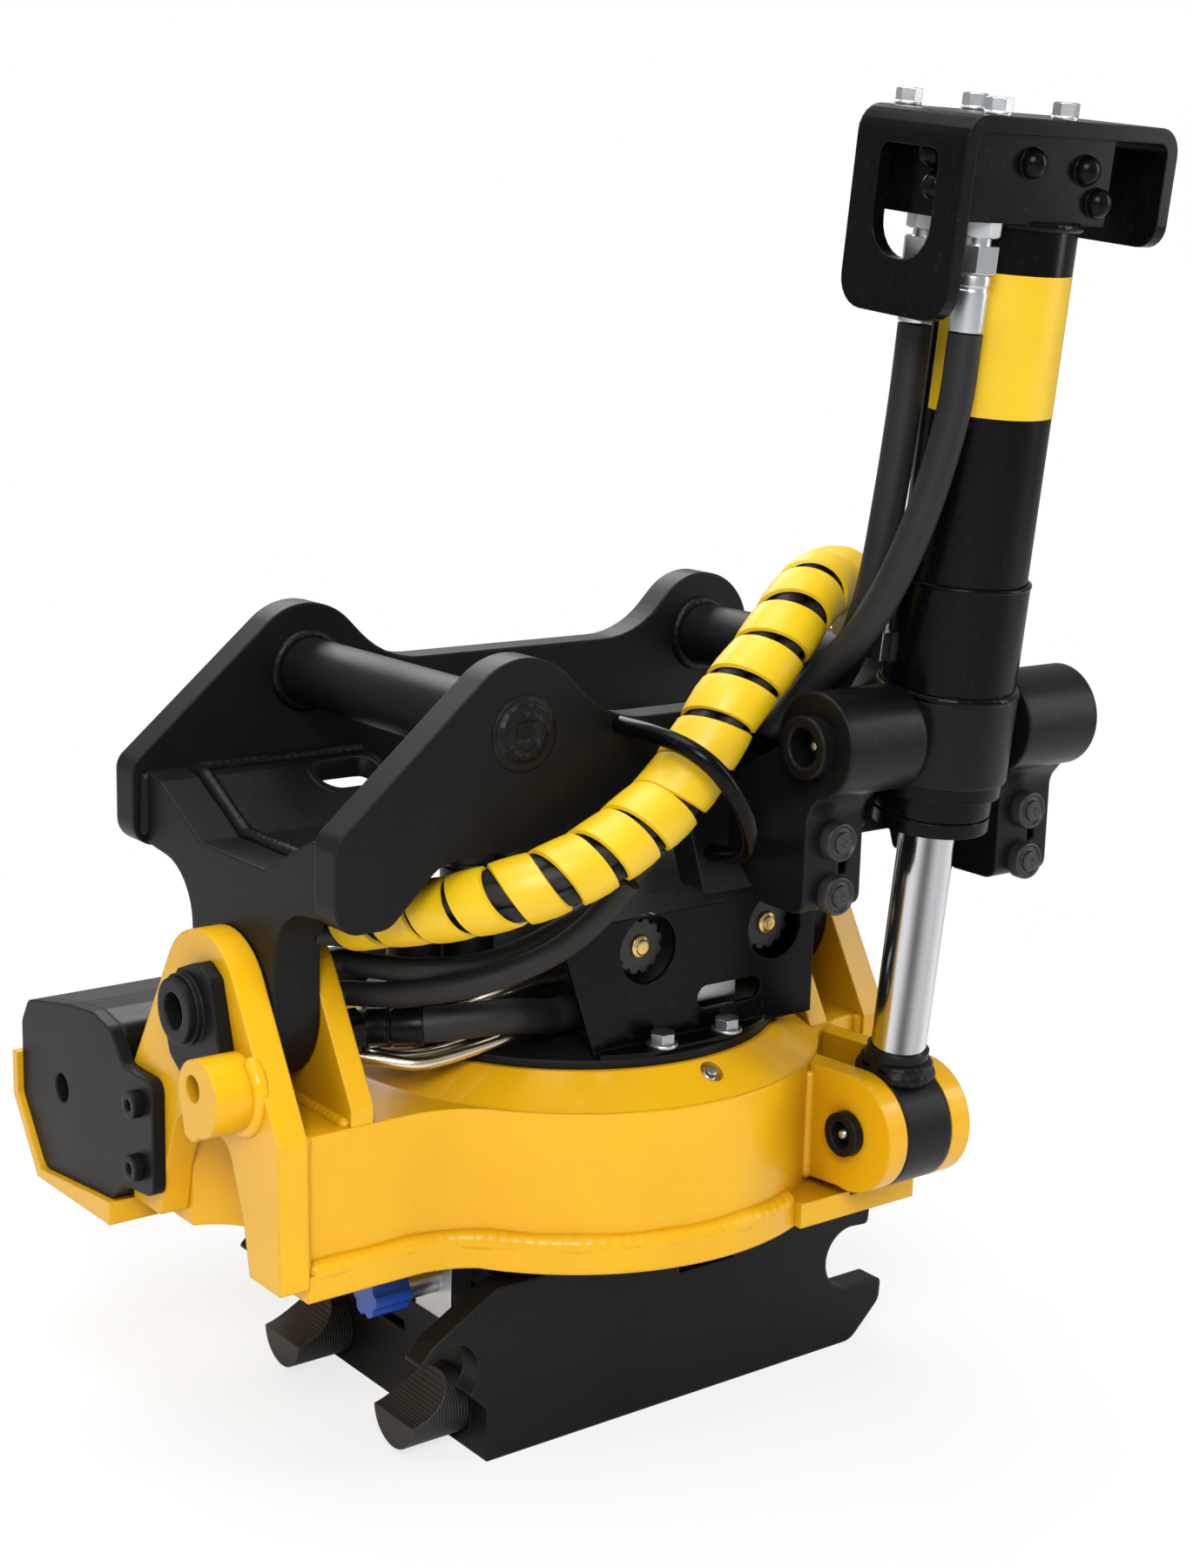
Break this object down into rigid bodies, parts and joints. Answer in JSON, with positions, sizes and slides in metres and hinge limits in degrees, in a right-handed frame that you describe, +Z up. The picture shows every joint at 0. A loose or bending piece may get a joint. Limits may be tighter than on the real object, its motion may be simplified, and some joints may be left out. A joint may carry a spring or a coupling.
{
  "type": "excavator tilt rotator",
  "caption": "Excavator tilt rotator: yellow rotor housing, black tilting upper pin hitch with one upright tilt cylinder, black turning lower quick hitch.",
  "frame": {"origin": "On the rotor axis, in the plane of the underside of the lower hitch", "axes": "+Z up along the rotor axis, +X to the rear of the hitch along the tilt axis, +Y across the hitch along its coupling pins, away from the tilt cylinder"},
  "size_m": [0.492, 0.484, 0.7521],
  "materials": {
    "yellow_paint": "semi-gloss industrial yellow paint with light wear at the edges",
    "black_paint": "satin black paint over plate and castings",
    "dark_steel": "dark phosphated steel",
    "machined_steel": "machined steel",
    "chrome": "hard chrome, polished",
    "zinc": "zinc plated steel",
    "bronze": "plain bearing bronze",
    "brass": "turned brass",
    "black_plastic": "black moulded plastic",
    "blue_plastic": "blue moulded dust cap",
    "hose_rubber": "black hydraulic hose cover",
    "yellow_plastic": "yellow spiral hose guard"
  },
  "bodies": {
    "housing": {"housing_shell": "yellow_paint", "front_clevis_outer": "yellow_paint", "front_clevis_inner": "yellow_paint", "rear_clevis_inner": "yellow_paint", "rear_clevis_outer": "yellow_paint", "lifting_lug": "yellow_paint", "cylinder_lugs": "yellow_paint", "tilt_pins": "black_paint", "pin_retainers": "black_paint", "rod_eye_pin": "black_paint", "top_disc": "black_paint", "valve_block": "dark_steel", "valve_cover": "black_paint", "cover_bolts": "zinc", "coil_nuts": "black_plastic", "coil_screws": "brass", "valve_connector": "zinc", "gearbox_body": "black_paint", "gearbox_end_plate": "black_paint", "gearbox_bolts": "black_paint", "skid_guard": "yellow_paint", "slew_bush": "bronze", "valve_hoses": "hose_rubber"},
    "worm": {"worm": "machined_steel"},
    "upper": {"ear_near": "black_paint", "ear_far": "black_paint", "front_lug_plate": "black_paint", "rear_lug_plate": "black_paint", "saddle_plates": "black_paint", "upper_pins": "black_paint", "tilt_bushes": "bronze", "trunnion_arms": "black_paint", "arm_caps": "black_plastic", "hose_loop": "black_paint", "hose_bundle": "yellow_plastic", "cylinder_hoses": "hose_rubber"},
    "barrel": {"barrel": "black_paint", "trunnion_collar": "black_paint", "gland": "black_paint", "head_block": "black_paint", "hose_guard": "black_paint", "guard_bolts": "zinc", "hose_fittings": "zinc", "transfer_pipe": "zinc"},
    "rod": {"rod": "chrome", "rod_eye": "black_paint", "piston": "machined_steel"},
    "rotor": {"worm_wheel": "bronze", "rotor_neck": "black_paint", "lower_side_plates": "black_paint", "lower_cross_plates": "black_paint", "lower_top_plate": "black_paint", "belly_plate": "black_paint", "lock_guides": "black_paint", "lock_cylinder": "black_paint", "coupler_cap": "blue_plastic", "coupler_stub": "zinc"},
    "lock": {"lock_horns": "dark_steel", "lock_yoke": "dark_steel"}
  },
  "joints": [
    {"name": "tilt", "type": "hinge", "parent": "housing", "child": "upper", "pos_m": [0, 0, 0.262], "axis": [1, 0, 0], "range_deg": [-35, 35], "deforming": ["valve_hoses"]},
    {"name": "rotate", "type": "hinge", "parent": "housing", "child": "rotor", "pos_m": [0, 0, 0.115], "axis": [0, 0, 1], "continuous": true},
    {"name": "worm_spin", "type": "hinge", "parent": "housing", "child": "worm", "pos_m": [0, 0.1605, 0.169], "axis": [1, 0, 0], "continuous": true},
    {"name": "barrel_swing", "type": "hinge", "parent": "upper", "child": "barrel", "pos_m": [0.115, -0.1875, 0.411], "axis": [1, 0, 0], "range_deg": [-11, 11], "deforming": ["cylinder_hoses"]},
    {"name": "rod_slide", "type": "slide", "parent": "barrel", "child": "rod", "axis": [0, 0.1061, -0.9944], "range_m": [-0.105, 0.105]},
    {"name": "lock_slide", "type": "slide", "parent": "rotor", "child": "lock", "axis": [1, 0, 0], "range_m": [0, 0.04]}
  ],
  "couplings": [
    {"joint": "barrel_swing", "follows": "tilt", "ratio": -0.31},
    {"joint": "rod_slide", "follows": "tilt", "m_per_rad": -0.171},
    {"joint": "worm_spin", "follows": "rotate", "ratio": 30}
  ]
}
